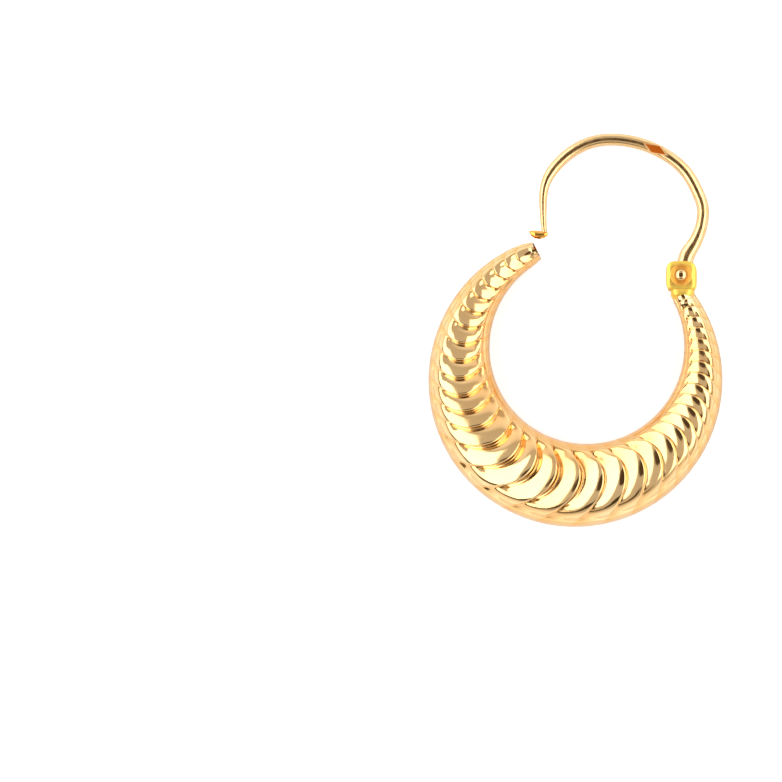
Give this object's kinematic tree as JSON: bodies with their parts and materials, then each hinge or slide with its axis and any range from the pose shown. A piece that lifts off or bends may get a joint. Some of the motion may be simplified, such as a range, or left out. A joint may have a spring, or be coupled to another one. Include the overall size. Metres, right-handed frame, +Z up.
{
  "type": "hoop earring",
  "caption": "Hollow ribbed gold hoop earring lying on its back, with a riveted hinge box and a bent ear wire that swings open.",
  "frame": {"origin": "centre of the box round the earring, on the surface that it lies on", "axes": "+Z up from that surface, through the hoop; +Y from the belly of the hoop to the crown of the ear wire; +X from the open tip to the hinge"},
  "size_m": [0.022, 0.0298, 0.005],
  "materials": {
    "gold_shell": "polished",
    "gold_wire": "polished",
    "gold_rivet": "polished"
  },
  "bodies": {
    "hoop": {"hoop_body": "gold_shell", "hinge_rivet": "gold_rivet"},
    "wire": {"ear_wire": "gold_wire"}
  },
  "joints": [
    {"name": "wire_hinge", "type": "hinge", "parent": "hoop", "child": "wire", "pos_m": [0.00497, 0.00603, 0.00108], "axis": [-0.0015, -0.0791, -0.9969], "range_deg": [-6, 80]}
  ]
}
